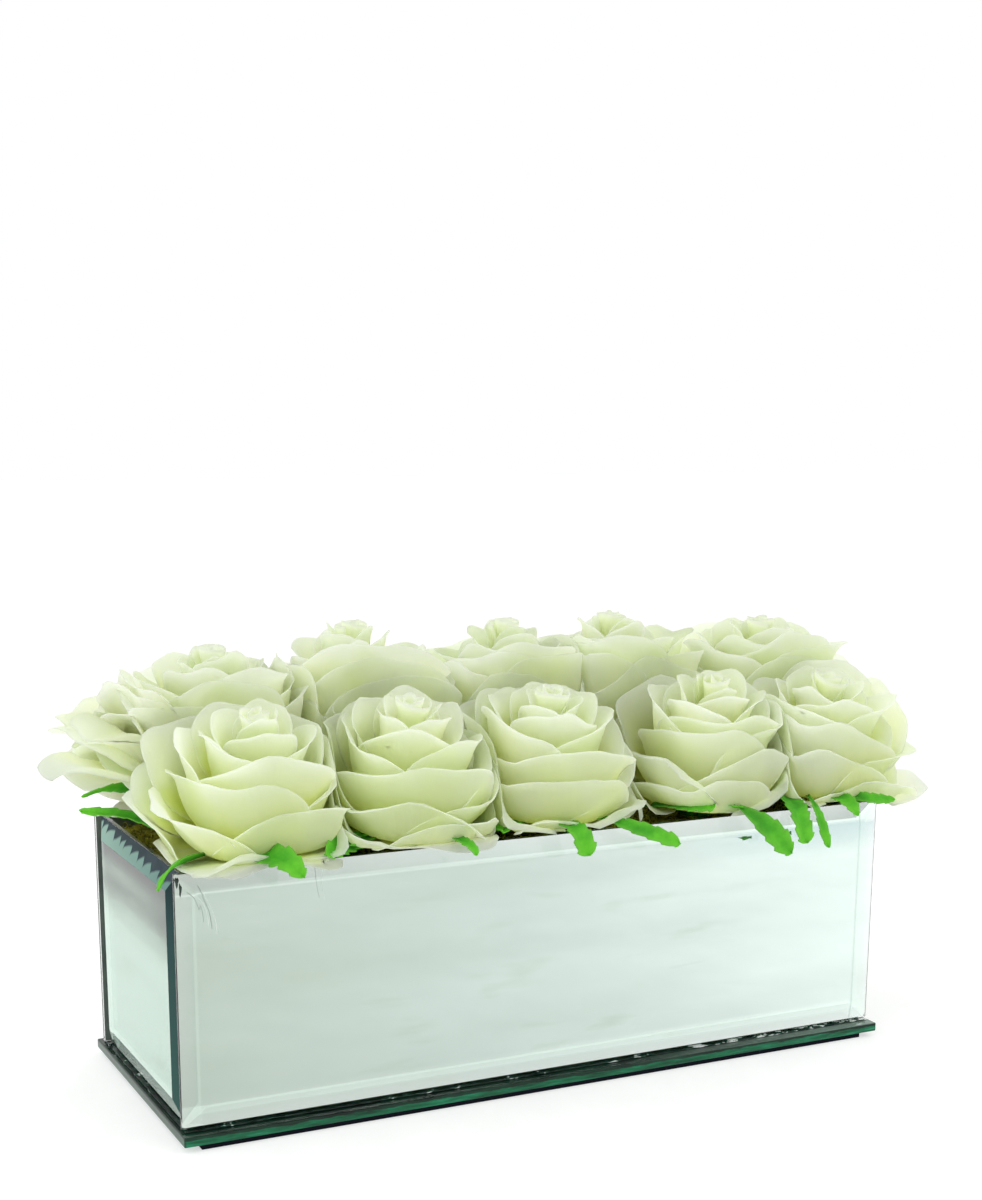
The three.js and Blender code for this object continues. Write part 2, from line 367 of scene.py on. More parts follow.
def foot_material():
    """Thick float glass seen from its edge: near black along the top as painted shade and reflection under
    the panel, with a ragged emerald band below. Its ends are darker as painted shade, and its upper face
    gets paler towards the right as painted reflection."""
    n = Nodes("foot_glass")
    split = n.axes()
    height = n.range(split["Z"], PLATE_LOW[2] * MM, PLATE_HIGH[2] * MM)
    ragged = n.noise(150, 4.0, 0.6, upright=60)
    level = n.math("ADD", height, n.range(ragged, 0.3, 0.7, -0.1, 0.1))
    streak = n.noise(60, 4.0, 0.6, upright=500)
    emerald = n.ramp(streak, [
        (0.3, (6, 52, 34)),
        (0.5, (12, 90, 58)),
        (0.62, (20, 112, 76)),
        (0.75, (48, 140, 104)),
    ])
    dark = n.ramp(streak, [(0.35, (6, 22, 16)), (0.7, (20, 58, 42))])
    # Near black along the top: painted shade and reflection under the panel.
    colour = n.mix(n.range(level, 0.62, 0.72), emerald, dark)
    end = PLATE_HIGH[0]
    # Darker ends: painted shade.
    painted_end_shade = n.range(n.math("ABSOLUTE", split["X"]), (end - 1.0) * MM, (end - 0.4) * MM)
    colour = n.mix(n.times(painted_end_shade, 0.7), colour, (30, 54, 42))
    # Paler upper face towards the right: painted reflection.
    painted_top_reflection = n.times(n.range(height, 0.9, 1.0), n.range(split["X"], 0.02, 0.13, 0.0, 0.6))
    colour = n.mix(painted_top_reflection, colour, (150, 172, 160))
    relief = n.bump(streak, 0.3, 0.0006)
    return n.surface(
        Base_Color=colour, Roughness=0.16, IOR=GLASS_IOR, Specular_IOR_Level=0.25, Normal=relief,
    )


def paint_material():
    """The grey-green lacquer on the back of the mirror."""
    n = Nodes("mirror_back_paint")
    patch = n.noise(90, 5.0)
    colour = n.two_tones(patch, (78, 88, 84), (98, 108, 102))
    relief = n.bump(n.noise(700, 2.0), 0.2, 0.0002)
    return n.surface(Base_Color=colour, Roughness=0.55, Normal=relief)


def felt_material():
    """Black felt with a bluish cast."""
    n = Nodes("black_felt")
    fuzz = n.noise(1500, 4.0, 0.7)
    colour = n.two_tones(fuzz, (8, 10, 17), (24, 27, 38))
    relief = n.bump(fuzz, 0.8, 0.0006)
    return n.surface(Base_Color=colour, Roughness=0.95, Specular_IOR_Level=0.1, Normal=relief)


def glue_material():
    """A line of clear glue: dark green, with painted whitish glints that get more frequent to the right.
    """
    n = Nodes("clear_glue")
    lump = n.noise(160, 4.0, 0.6, upright=700)
    level = n.math("ADD", lump, n.range(n.axes()["X"], -0.02, 0.14, 0.0, 0.09))
    # The whitish last stop is a painted glint, with more of them to the right.
    colour = n.ramp(level, [
        (0.35, (10, 22, 18)),
        (0.56, (22, 50, 40)),
        (0.62, (40, 80, 64)),
        (0.65, (236, 242, 239)),
    ])
    relief = n.bump(lump, 0.8, 0.0012)
    return n.surface(Base_Color=colour, Roughness=0.12, Normal=relief)


def strand_material():
    """Thin threads of dried glue, whitish against the mirror."""
    n = Nodes("glue_strand")
    cloud = n.noise(300, 2.0)
    colour = n.two_tones(cloud, (206, 220, 212), (240, 248, 243))
    return n.surface(Base_Color=colour, Roughness=0.3)


def foam_material():
    """Dry floral foam, dull green with fine dark pores."""
    n = Nodes("dry_foam")
    pores = n.noise(900, 4.0, 0.7)
    patch = n.noise(40)
    base = n.two_tones(patch, (92, 104, 58), (116, 126, 74))
    colour = n.mix(n.range(pores, 0.35, 0.6, 0.6, 0.0), base, (58, 66, 34))
    relief = n.bump(pores, 1.0, 0.0008)
    return n.surface(Base_Color=colour, Roughness=0.95, Normal=relief)


def moss_material():
    """Dried moss from brown to yellow; lot sets each fibre's own tone."""
    n = Nodes("dried_moss")
    patch = n.noise(150, 4.0)
    lot = n.attribute("lot")
    tone = n.math("ADD", n.times(patch, 0.6), n.times(lot, 0.4))
    colour = n.ramp(tone, [
        (0.25, (66, 56, 14)),
        (0.42, (120, 112, 26)),
        (0.56, (164, 156, 40)),
        (0.78, (204, 198, 84)),
    ])
    relief = n.bump(n.noise(1400), 0.6, 0.0004)
    return n.surface(Base_Color=colour, Roughness=0.9, Normal=relief)


def stem_material():
    """Green plastic with long fine ridges."""
    n = Nodes("stem_plastic")
    tone = n.noise(60, upright=400)
    colour = n.two_tones(tone, (48, 104, 34), (76, 142, 52))
    relief = n.bump(n.noise(500, 2.0, upright=60), 0.4, 0.0003)
    return n.surface(Base_Color=colour, Roughness=0.45, Normal=relief)


PETAL = petal_material()
SEPAL = sepal_material()
CLEAR_GLASS = glass_material()
FOOT_GLASS = foot_material()
# The silver's tones are painted reflection: darker to the left on the long panels, near black towards the
# top of the end panels.
SILVER = silver_material("mirror_silver", "X", -0.16, 0.16, [
    (0.0, (195, 198, 192)), (0.45, (214, 216, 216)), (1.0, (252, 251, 254)),
], HALF_LENGTH)
END_SILVER = silver_material("mirror_silver_ends", "Z", -0.045, 0.045, [
    (0.0, (226, 235, 230)), (0.45, (222, 231, 226)), (0.6, (211, 220, 214)), (0.7, (178, 188, 180)),
    (0.76, (122, 132, 124)), (0.81, (80, 88, 82)), (0.87, (38, 44, 40)), (1.0, (12, 14, 14)),
], LEFT_HIGH[1])
PAINT = paint_material()
BEVEL_SHADE = bevel_shade_material()
FELT = felt_material()
GLUE = glue_material()
STRAND = strand_material()
FOAM = foam_material()
MOSS = moss_material()
STEM = stem_material()


# ---- mesh helpers ----

def make_object(name, points, faces, materials, slots=None, is_smooth=True, attributes=None, uv=None):
    """A mesh object from points in millimetres. slots, attributes and uv are by face, point and point."""
    mesh = bpy.data.meshes.new(name)
    mesh.from_pydata((np.asarray(points) * MM).tolist(), [], faces)
    for material in materials:
        mesh.materials.append(material)
    if slots is not None:
        mesh.polygons.foreach_set("material_index", slots)
    mesh.polygons.foreach_set("use_smooth", [is_smooth] * len(mesh.polygons))
    for key, values in (attributes or {}).items():
        mesh.attributes.new(key, "FLOAT", "POINT").data.foreach_set("value", np.asarray(values, float))
    if uv is not None:
        corner = np.zeros(len(mesh.loops), int)
        mesh.loops.foreach_get("vertex_index", corner)
        mesh.uv_layers.new(name="petal").data.foreach_set("uv", np.asarray(uv)[corner].ravel())
    mesh.update()
    obj = bpy.data.objects.new(name, mesh)
    bpy.context.scene.collection.objects.link(obj)
    return obj


def grid_faces(rows, columns, start=0):
    """Four-sided faces over a grid of points that are numbered row by row from start."""
    faces = []
    for i in range(rows - 1):
        for j in range(columns - 1):
            a = start + i * columns + j
            faces.append((a, a + 1, a + 1 + columns, a + columns))
    return faces


LOT_SHIFT = 7  # times a sheet's lot: how far its creases are moved, so that sheets differ


class Sheets:
    """Collects curved sheets, each a grid of points, into one mesh. Every point has three values for its
    material: along (0 at the root, 1 at the tip), edge (1 on the rim) and lot (its sheet's own tone)."""

    def __init__(self):
        self.points, self.faces, self.uv = [], [], []
        self.values = {"along": [], "edge": [], "lot": []}
        self.count = 0

    def add(self, grid, along, edge, lot):
        rows, columns = grid.shape[:2]
        self.points.append(grid.reshape(-1, 3))
        self.faces += grid_faces(rows, columns, self.count)
        self.count += rows * columns
        shape = (rows, columns)
        across = np.broadcast_to(np.linspace(0, 1, columns), shape) + lot * LOT_SHIFT
        self.uv.append(np.stack([across, np.broadcast_to(along, shape)], -1).reshape(-1, 2))
        for key, value in (("along", along), ("edge", edge), ("lot", lot)):
            self.values[key].append(np.broadcast_to(value, shape).ravel())

    def build(self, name, material, thickness):
        values = {key: np.concatenate(parts) for key, parts in self.values.items()}
        obj = make_object(name, np.concatenate(self.points), self.faces, [material],
                          attributes=values, uv=np.concatenate(self.uv))
        solid = obj.modifiers.new("thickness", "SOLIDIFY")
        solid.thickness = thickness * MM
        solid.offset = 0.0
        return obj


# ---- glass trough ----

def panel_points(length, height, levels):
    """Rings of a plate in XZ. Each level is (inset from the outline, distance out from the back)."""
    corners = [(-1, -1), (1, -1), (1, 1), (-1, 1)]
    return [
        (sx * (length / 2 - inset), -out, sz * (height / 2 - inset))
        for inset, out in levels for sx, sz in corners
    ]


def ring_stack_faces(levels):
    """The faces of a closed solid made of a number of four-cornered rings."""
    top = 4 * (levels - 1)
    faces = [(0, 3, 2, 1), (top, top + 1, top + 2, top + 3)]
    for ring in range(levels - 1):
        for i in range(4):
            a, b = 4 * ring + i, 4 * ring + (i + 1) % 4
            faces.append((a, b, b + 4, a + 4))
    return faces


def round_edges(piece, width, **settings):
    """A narrow two-step rounding along the edges of a glass piece."""
    arris = piece.modifiers.new("arris", "BEVEL")
    arris.width = width * MM
    arris.segments = 2
    for key, value in settings.items():
        setattr(arris, key, value)


def stand_up(piece, turn, place):
    """Turns a panel made in XZ about the upright axis and moves it to its place."""
    piece.matrix_world = Matrix.Translation(Vector(place) * MM) @ Matrix.Rotation(turn, 4, "Z")


COAT_INSET = 0.4  # how far silver and paint stay inside the outline of the glass
COAT_OVERLAP = 0.05  # how far they go into the glass


def mirror_panel(name, length, height, turn, place, silver):
    """A bevelled glass plate with a silvered, painted layer set just into its back, so that no air
    is between."""
    glass_levels = [(0, COAT), (0, BEVEL_EDGE), (BEVEL_WIDTH, GLASS)]
    coat_levels = [(COAT_INSET, 0.0), (COAT_INSET, COAT + COAT_OVERLAP)]
    glass = make_object(f"{name}_glass", panel_points(length, height, glass_levels),
                        ring_stack_faces(3), [CLEAR_GLASS], is_smooth=False)
    round_edges(glass, 0.25, limit_method="ANGLE", angle_limit=math.radians(10))
    silver_outside = [0, 1, 0, 0, 0, 0]
    coat = make_object(f"{name}_coat", panel_points(length, height, coat_levels),
                       ring_stack_faces(2), [PAINT, silver], slots=silver_outside, is_smooth=False)
    for piece in (glass, coat):
        stand_up(piece, turn, place)
        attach(piece, "trough")
        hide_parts(name)


def bevel_shade(name, length, height, turn, place, front):
    """Painted dark reflection on an end panel's top and front bevels; front is the local side that faces
    the front.
    """
    outer, inner = -(BEVEL_EDGE + REFLECTION_SHEET_GAP), -(GLASS + REFLECTION_SHEET_GAP)
    outer_x, outer_z = length / 2 - REFLECTION_SHEET_INSET, height / 2 - REFLECTION_SHEET_INSET
    inner_x, inner_z = length / 2 - BEVEL_WIDTH, height / 2 - BEVEL_WIDTH
    edge_x, side_x = front * outer_x, front * inner_x
    points = [
        (-outer_x, outer, outer_z), (outer_x, outer, outer_z),
        (inner_x, inner, inner_z), (-inner_x, inner, inner_z),
        (edge_x, outer, -outer_z), (edge_x, outer, outer_z),
        (side_x, inner, inner_z), (side_x, inner, -inner_z),
    ]
    top_face, side_face = (0, 3, 2, 1), (4, 5, 6, 7) if front > 0 else (7, 6, 5, 4)
    along = [front * p[0] / TOOTH_PITCH for p in points]
    edge = [1, 1, 0, 0, 1, 1, 0, 0]
    side = [-1, -1, -1, -1, 0, 1, 0.9, 0.1]
    strips = make_object(f"{name}_bevel_shade", points, [top_face, side_face], [BEVEL_SHADE],
                         is_smooth=False, attributes={"along": along, "edge": edge, "lot": side})
    stand_up(strips, turn, place)
    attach(strips, "trough")
    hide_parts(name)


def build_trough():
    """The four panels and the foot plate; the felt, foam, glue and stems only get their materials."""
    middle = (PANEL_BOTTOM + RIM) / 2
    height = RIM - PANEL_BOTTOM
    end_length = LEFT_HIGH[1] - LEFT_LOW[1]
    end_x = LEFT_HIGH[0]
    sides = (
        ("front_panel", 2 * HALF_LENGTH, 0, (0, FRONT_HIGH[1], middle), SILVER),
        ("right_panel", end_length, PI / 2, (-end_x, 0, middle), END_SILVER),
        ("back_panel", 2 * HALF_LENGTH, PI, (0, BACK_LOW[1], middle), SILVER),
        ("left_panel", end_length, -PI / 2, (end_x, 0, middle), END_SILVER),
    )
    for name, length, turn, place, silver in sides:
        mirror_panel(name, length, height, turn, place, silver)
    for name, turn, front in (("left_panel", -PI / 2, 1), ("right_panel", PI / 2, -1)):
        bevel_shade(name, end_length, height, turn, (front * end_x, 0, middle), front)
    low, high = PLATE_LOW, PLATE_HIGH
    outline = ((low[0], low[1]), (high[0], low[1]), (high[0], high[1]), (low[0], high[1]))
    points = [(x, y, z) for z in (low[2], high[2]) for x, y in outline]
    plate = make_object("foot_plate_glass", points, ring_stack_faces(2), [FOOT_GLASS], is_smooth=False)
    round_edges(plate, 0.5)
    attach(plate, "trough")
    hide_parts("foot_plate")
    for name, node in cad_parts.items():
        material = {"felt_pad": FELT, "foam_block": FOAM}.get(name)
        if "glue" in name:
            material = GLUE
        if name.endswith("_stem"):
            material = STEM
        if material is not None:
            node.data.materials.clear()
            node.data.materials.append(material)


# ---- roses ----

def head_rotation(lean, heading, spin):
    """Turns a head about its own axis, then leans it towards a heading (0 is +X, 90 is +Y)."""
    to_heading = Matrix.Rotation(math.radians(heading), 3, "Z")
    tilt = Matrix.Rotation(math.radians(lean), 3, "Y")
    own_turn = Matrix.Rotation(math.radians(spin), 3, "Z")
    return np.array(to_heading @ tilt @ to_heading.transposed() @ own_turn)


# One tier of petals. root, closed and open are (distance from the axis, height above the base): where
# the petal starts and where its tip is in a closed and in an open head. belly is how far it swells, half
# its half width, fold how far (degrees) its rim turns outward over a band roll wide, wave its ripples.
Tier = namedtuple("Tier", "count root belly closed open half fold roll wave")
TIERS = [
    Tier(2, (2.5, 26), 5.5, (7.5, 53.5), (8.0, 53.0), 9, 35, 2.5, 0.5),
    Tier(3, (3.0, 21), 10.0, (12.5, 52.0), (13.5, 52.0), 15, 40, 3.0, 0.8),
    Tier(3, (4.0, 17), 15.0, (18.0, 50.0), (20.0, 49.5), 22, 45, 3.5, 1.2),
    Tier(3, (5.0, 12), 21.0, (24.0, 47.0), (27.0, 45.5), 30, 50, 4.5, 1.6),
    Tier(3, (6.0, 8), 27.0, (29.5, 42.0), (34.0, 38.5), 37, 60, 5.5, 2.1),
    Tier(4, (7.0, 4), 31.0, (33.5, 33.0), (39.5, 28.0), 35, 80, 7.0, 2.6),
    Tier(4, (8.0, 1), 33.5, (37.0, 23.0), (43.0, 18.0), 34, 90, 9.5, 3.6),
]
INNER_TIERS = 4
HEAD_HEIGHT = 55.0
CURVE_STEPS = 140
CURVE_END = 1.15  # curves run a little past their tip so a crown can rise above it
PETAL_ROWS, PETAL_COLUMNS = 24, 23
ROW_CROWDING = 1.35  # above 1, the rows of points lie closer together towards the rim
ROOT_WIDTH = 0.26  # a petal's width at its root, as a share of its full width
TIP_SCATTER = 1.0  # how far a tip strays from its tier's place
LIFT_FROM, LIFT_OVER = 20, 20  # lift comes in where a tip is this far from the axis, over this much more
BUD_FROM, BUD_OVER = 9, 17  # and bud fades out likewise
WAVE_LENGTH, RIPPLE_LENGTH, RIPPLE_SHARE = 15.0, 6.0, 0.3
FRAY_AND_HIGHLIGHT_WIDTH = 3.0  # width of the pale rim: frayed cut edge and painted highlight


def bowl_curve(root, belly, tip):
    """A petal's middle line: out into a bowl, up, then outward to the tip. Gives share, radius, height."""
    t = np.linspace(0, CURVE_END, CURVE_STEPS)
    rise = tip[1] - root[1]
    radii = (root[0], belly, belly + 0.1 * (tip[0] - belly), tip[0])
    heights = (root[1], root[1] - 0.02 * rise, tip[1] - 0.36 * rise, tip[1])
    weights = ((1 - t) ** 3, 3 * (1 - t) ** 2 * t, 3 * (1 - t) * t**2, t**3)
    radius = sum(w * r for w, r in zip(weights, radii))
    height = sum(w * h for w, h in zip(weights, heights))
    length = np.concatenate([[0], np.cumsum(np.hypot(np.diff(radius), np.diff(height)))])
    return length / np.interp(1.0, t, length), radius, height, np.interp(1.0, t, length)


def petal(tier, bloom, lift, bud, turn, seed, shoulders=(0.3, 0.55)):
    """One petal about an upright axis: its grid of points and how far along and near the edge each is."""
    rng = np.random.default_rng(seed)
    v = 1 - (1 - np.linspace(0, 1, PETAL_ROWS)[:, None]) ** ROW_CROWDING
    u = np.sin(np.linspace(-PI / 2, PI / 2, PETAL_COLUMNS))[None, :]
    closed, opened = np.array(tier.closed), np.array(tier.open)
    tip = closed + (opened - closed) * bloom + rng.normal(0, TIP_SCATTER, 2)
    raised = lift * smooth((tip[0] - LIFT_FROM) / LIFT_OVER)
    tip[1] += raised + bud * (1 - smooth((tip[0] - BUD_FROM) / BUD_OVER))
    belly = tier.belly * (0.94 + 0.12 * bloom)
    share, curve_out, curve_up, length = bowl_curve(tier.root, belly, tip)

    shoulder = rng.uniform(*shoulders)
    roundness = rng.uniform(1.9, 2.7)
    corner = (1 - np.abs(u) ** roundness) ** (1 / roundness)
    point = rng.uniform(-0.05, 0.08) * np.exp(-((u / 0.25) ** 2))
    crown = 1 - shoulder * (1 - corner) + point + rng.normal(0, 0.06) * u
    crown = crown + 0.014 * np.sin(u * rng.uniform(5, 9) + 6 * rng.random())
    s = v * crown
    radius = np.interp(s, share, curve_out)
    height = np.interp(s, share, curve_up)
    half = tier.half * rng.uniform(0.92, 1.08) * (ROOT_WIDTH + (1 - ROOT_WIDTH) * smooth(s / 0.6))
    arc = u * half
    bend = np.maximum(radius, 5.0) * rng.uniform(1.0, 1.12)
    angle = arc / bend

    side_gap = (1 - np.abs(u)) * half
    top_gap = (1 - v) * crown * length
    gap = 1 / np.sqrt(1 / (side_gap + 0.01) ** 2 + 1 / (top_gap + 0.01) ** 2)
    band = tier.roll * rng.uniform(0.7, 1.5) * (1 + 0.35 * np.sin(u * 4 + 6 * rng.random()))
    turn_over = math.radians(tier.fold) * rng.uniform(0.5, 1.5)
    curl = np.maximum(band - gap, 0) / band * turn_over
    curl_radius = band / turn_over
    looseness = smooth((s - 0.35) / 0.4)
    roll = curl_radius * (1 - np.cos(curl)) * looseness
    pulled = np.maximum(band - gap - curl_radius * np.sin(curl), 0) * looseness
    from_top = side_gap**2 / (side_gap**2 + top_gap**2 + 0.01)
    angle = angle - np.sign(u) * pulled * (1 - from_top) / bend
    twist = math.tan(math.radians(rng.uniform(6, 11)))
    outward = radius - bend * (1 - np.cos(angle)) + twist * arc + roll * np.cos(angle)
    sideways = (bend + roll) * np.sin(angle)
    grid = np.stack([outward, sideways, height - pulled * from_top], -1)
    loose = smooth((s - 0.3) / 0.7)
    for axis, size in ((0, 1.0), (2, 0.5)):
        wave = wander(grid, WAVE_LENGTH, seed + 3 * axis)
        ripple = wander(grid, RIPPLE_LENGTH, seed + 5 + axis)
        grid[..., axis] += tier.wave * size * (wave + RIPPLE_SHARE * ripple) * loose

    edge = np.exp(-gap / FRAY_AND_HIGHLIGHT_WIDTH)
    along = np.clip(s, 0, 1) * np.ones_like(u)
    c, d = math.cos(turn), math.sin(turn)
    x, y, z = grid[..., 0], grid[..., 1], grid[..., 2]
    return np.stack([x * c - y * d, x * d + y * c, z], -1), along, edge


CORE_ROWS, CORE_COLUMNS = 12, 84
CORE_TURNS = 2.2
CORE_DEPTH = 26


def spiral_core(top, seed):
    """The rolled strip at the middle of the flower."""
    rng = np.random.default_rng(seed)
    v = np.linspace(0, 1, CORE_ROWS)[:, None]
    t = np.linspace(0, 1, CORE_COLUMNS)[None, :]
    angle = 2 * PI * (CORE_TURNS * t + rng.random())
    crest = top - 1.2 * t + 0.9 * np.sin(angle * 1.5 + 6 * rng.random())
    bottom = top - CORE_DEPTH
    radius = 0.9 + 5.0 * t + 1.5 * smooth((v - 0.72) / 0.28) * (0.3 + t) + 0.35 * np.sin(angle * 2)
    height = bottom + v * (crest - bottom)
    grid = np.stack([radius * np.cos(angle), radius * np.sin(angle), height * np.ones_like(angle)], -1)
    edge = np.exp(-(1 - v) * CORE_DEPTH / 0.8) * np.ones_like(t)
    along = (0.35 + 0.6 * v) * np.ones_like(t)
    return grid, along, edge


# Where each flower's middle is, which way the head leans, how open it is, and broad petals that reach
# out of the row: (heading in degrees, tip distance, tip height, half width). lift raises the outer tiers.
Rose = namedtuple("Rose", "tip lean heading spin bloom lift bud spread")
ROSES = {
    "rose_front_1": Rose((-114, -40, 153), 14, -95, 0, 0.95, 0, 1, [
        (-150, 45, 12, 30), (-105, 44, 10, 30)]),
    "rose_front_2": Rose((-54, -40, 154), 14, -90, 48, 0.75, 0, 1, [(-65, 45, 9, 26)]),
    "rose_front_3": Rose((4, -40, 155), 14, -90, 75, 0.5, 0, 0, []),
    "rose_front_4": Rose((78, -40, 155), 13, -92, 15, 0.2, 0, 0, []),
    "rose_front_5": Rose((134, -40, 153), 13, -80, 55, 0.6, 0, 0, [
        (-18, 50, 13, 26), (20, 38, 46, 30), (50, 36, 50, 28)]),
    "rose_back_1": Rose((-109, 27, 167), 3, 170, 20, 1.0, 9, 2, [
        (186, 36, 51, 26), (200, 34, 53, 24), (203, 45, 47, 32), (216, 46, 42, 30), (155, 50, 42, 28),
        (192, 54, 41, 33), (178, 55, 35, 33), (208, 58, 29, 32), (188, 69, 22, 32), (150, 54, 26, 30)]),
    "rose_back_2": Rose((-50, 27, 171), 3, 90, 60, 0.9, 14, 5, []),
    "rose_back_3": Rose((18, 27, 169), 3, 90, 10, 0.9, 15, 5, []),
    "rose_back_4": Rose((68, 27, 170.5), 3, 90, 35, 0.8, 14, 4, []),
    "rose_back_5": Rose((143, 24, 169.5), 4, -80, 0, 1.0, 10, 0, [
        (10, 46, 34, 28), (-25, 50, 26, 28), (35, 42, 40, 26), (160, 42, 40, 30)]),
}
FLOOR_GAP = 1.2  # how far petals stay above the rim
DROOP = 5.0  # how far they may hang below the rim outside the box
# Low petals round the back of each head in the back row, each as in spread.
BACK_SKIRT = [
    (52, 40, -6, 30), (128, 40, -6, 30), (90, 43, -11, 34), (70, 46, -9, 28), (112, 46, -8, 28),
    (62, 44, 7, 30), (103, 45, 3, 32), (140, 42, 5, 28), (80, 45, -3, 30),
]
OVERHANG = {FRONT: 5.0, BACK: 8.0}  # how far they may reach past the long sides
END_REACH = {  # how far along the row end heads may reach: at the rim, and higher up
    "rose_front_1": (-149, -168), "rose_back_1": (-180, -186),
    "rose_front_5": (187, 176), "rose_back_5": (180, 196),
}
END_RISE_FROM, END_RISE_OVER = 106.0, 22.0  # the height where it starts to change, and over how much
HEAD_GAP = 0.3  # half the room left between neighbouring heads
WALL_WIGGLE = 3.0  # the parting between two heads swings by this much to either side
WALL_MARGIN = 1.5  # petals start to droop this far outside the glass
RIM_SOFTNESS = 3.0  # how gently petals come to rest on the rim
# Pressed petals rise by a share of the way they move: between neighbours (up to a most), at the row's
# ends, at the middle of the box and at its long sides.
NEIGHBOUR_RISE, NEIGHBOUR_MOST, ROW_END_RISE, MIDDLE_RISE, SIDE_RISE = 0.3, 14.0, 0.15, 0.2, 0.3


def press(points, axis, centre, limit, rise, start=0.8, most=math.inf):
    """Presses points softly against a limit along x or y, on one side of a centre, from a share of the
    way on. They rise by a share of the way that they move, as far as that counts."""
    reach = (points[..., axis] - centre) / (limit - centre)
    over = np.maximum(reach - start, 0)
    pressed = np.where(reach > start, start + (1 - start) * (1 - np.exp(-over / (1 - start))), reach)
    moved = np.abs((reach - pressed) * (limit - centre))
    points[..., axis] = centre + pressed * (limit - centre)
    points[..., 2] += rise * np.minimum(moved, most)


def cell_of(name):
    """A rose's own space: the x of its walls (None at the ends) and its side of y = 0."""
    row, index = name.split("_")[1], int(name.split("_")[2])
    centre = ROSES[name].tip[0]
    walls = []
    for step in (-1, 1):
        neighbour = ROSES.get(f"rose_{row}_{index + step}")
        walls.append(None if neighbour is None else (centre + neighbour.tip[0]) / 2)
    return walls, (FRONT if row == "front" else BACK)


def fit_in_cell(name, grid):
    """Presses a grid of petal points into the rose's own space and keeps it off the rim."""
    walls, side = cell_of(name)
    points = grid.copy()
    tip = ROSES[name].tip
    for wall in walls:
        if wall is None:
            continue
        wiggle = WALL_WIGGLE * np.sin(points[..., 1] / 9.0 + wall)
        limit = wall + wiggle - HEAD_GAP * math.copysign(1, wall - tip[0])
        press(points, 0, tip[0], limit, NEIGHBOUR_RISE, most=NEIGHBOUR_MOST)
    if name in END_REACH:
        low_reach, high_reach = END_REACH[name]
        share = smooth((points[..., 2] - END_RISE_FROM) / END_RISE_OVER)
        limit = low_reach + (high_reach - low_reach) * share
        press(points, 0, tip[0], limit, ROW_END_RISE)
    middle = HEAD_GAP * side + WALL_WIGGLE * np.sin(points[..., 0] / 11.0)
    press(points, 1, tip[1], middle, MIDDLE_RISE)
    outside = side * (HALF_WIDTH + OVERHANG[side] + 2.0 * np.sin(points[..., 0] / 8.0))
    press(points, 1, tip[1], outside, SIDE_RISE, start=0.5)
    past_end, past_side = np.abs(points[..., 0]) - HALF_LENGTH, np.abs(points[..., 1]) - HALF_WIDTH
    beyond = np.maximum(past_end, past_side) - WALL_MARGIN
    floor = RIM + FLOOR_GAP - DROOP * smooth(beyond / 5.0)
    above = points[..., 2] - floor - RIM_SOFTNESS
    low = floor + RIM_SOFTNESS * np.exp(np.minimum(above, 0) / RIM_SOFTNESS)
    points[..., 2] = np.where(above < 0, low, points[..., 2])
    return points


def head_place(name):
    """A head's turning matrix and the point its petals start from."""
    rose = ROSES[name]
    turn = head_rotation(rose.lean, rose.heading, rose.spin)
    axis = turn @ np.array([0, 0, 1.0])
    return turn, np.array(rose.tip, float) - axis * HEAD_HEIGHT


ROUND_SHOULDERS = (0.55, 0.7)  # how much the petals that reach out are rounded off at their corners
REACHING_WAVE = 2.6  # and how strongly they ripple
PALE_FROM = 0.45  # those petals show none of the deeper colour that other petals have at the root
THREAD_SHARE, CRUMB_SHARE = 0.5, 0.08  # how many petals carry a loose thread or a moss crumb
THREAD_HALF_WIDTH = 0.07
CRUMB_LIFT = 0.35  # how far a crumb's middle lies off the cloth
CLOTH, LEAF_CLOTH = 0.3, 0.35  # thickness of the petals and of the green parts


def loose_thread(sheets, cloth, rng):
    """A thin white thread standing off a petal's cut edge."""
    column = rng.integers(3, cloth.shape[1] - 3)
    foot = cloth[-1, column]
    out = foot - cloth[-3, column]
    out /= np.linalg.norm(out)
    bend = rng.normal(0, 1, 3)
    t = np.linspace(0, 1, 6)[:, None]
    line = foot + rng.uniform(1.0, 2.5) * (out * t + 0.4 * bend * t**2)
    across = np.cross(out, bend)
    across *= THREAD_HALF_WIDTH / np.linalg.norm(across)
    sheets.add(np.stack([line - across, line + across], 1), 1.0, 1.0, 0.0)


def crumb(sheets, cloth, rng):
    """A crumb of moss lying on a petal."""
    row, column = rng.integers(8, cloth.shape[0] - 3), rng.integers(6, cloth.shape[1] - 6)
    spot = cloth[row, column]
    side, up = cloth[row, column + 1] - spot, cloth[row + 1, column] - spot
    off = np.cross(side, up)
    off *= -CRUMB_LIFT / np.linalg.norm(off)
    half_length, half_width = rng.uniform(0.4, 1.1), rng.uniform(0.2, 0.4)
    side *= half_length / np.linalg.norm(side)
    up *= half_width / np.linalg.norm(up)
    middle = spot + off
    corners = [[middle - side - 0.3 * up, middle - up, middle + side - 0.4 * up],
               [middle - side + 0.3 * up, middle + up, middle + side + 0.2 * up]]
    sheets.add(np.array(corners), 0.5, 0.0, CRUMB_LOT)


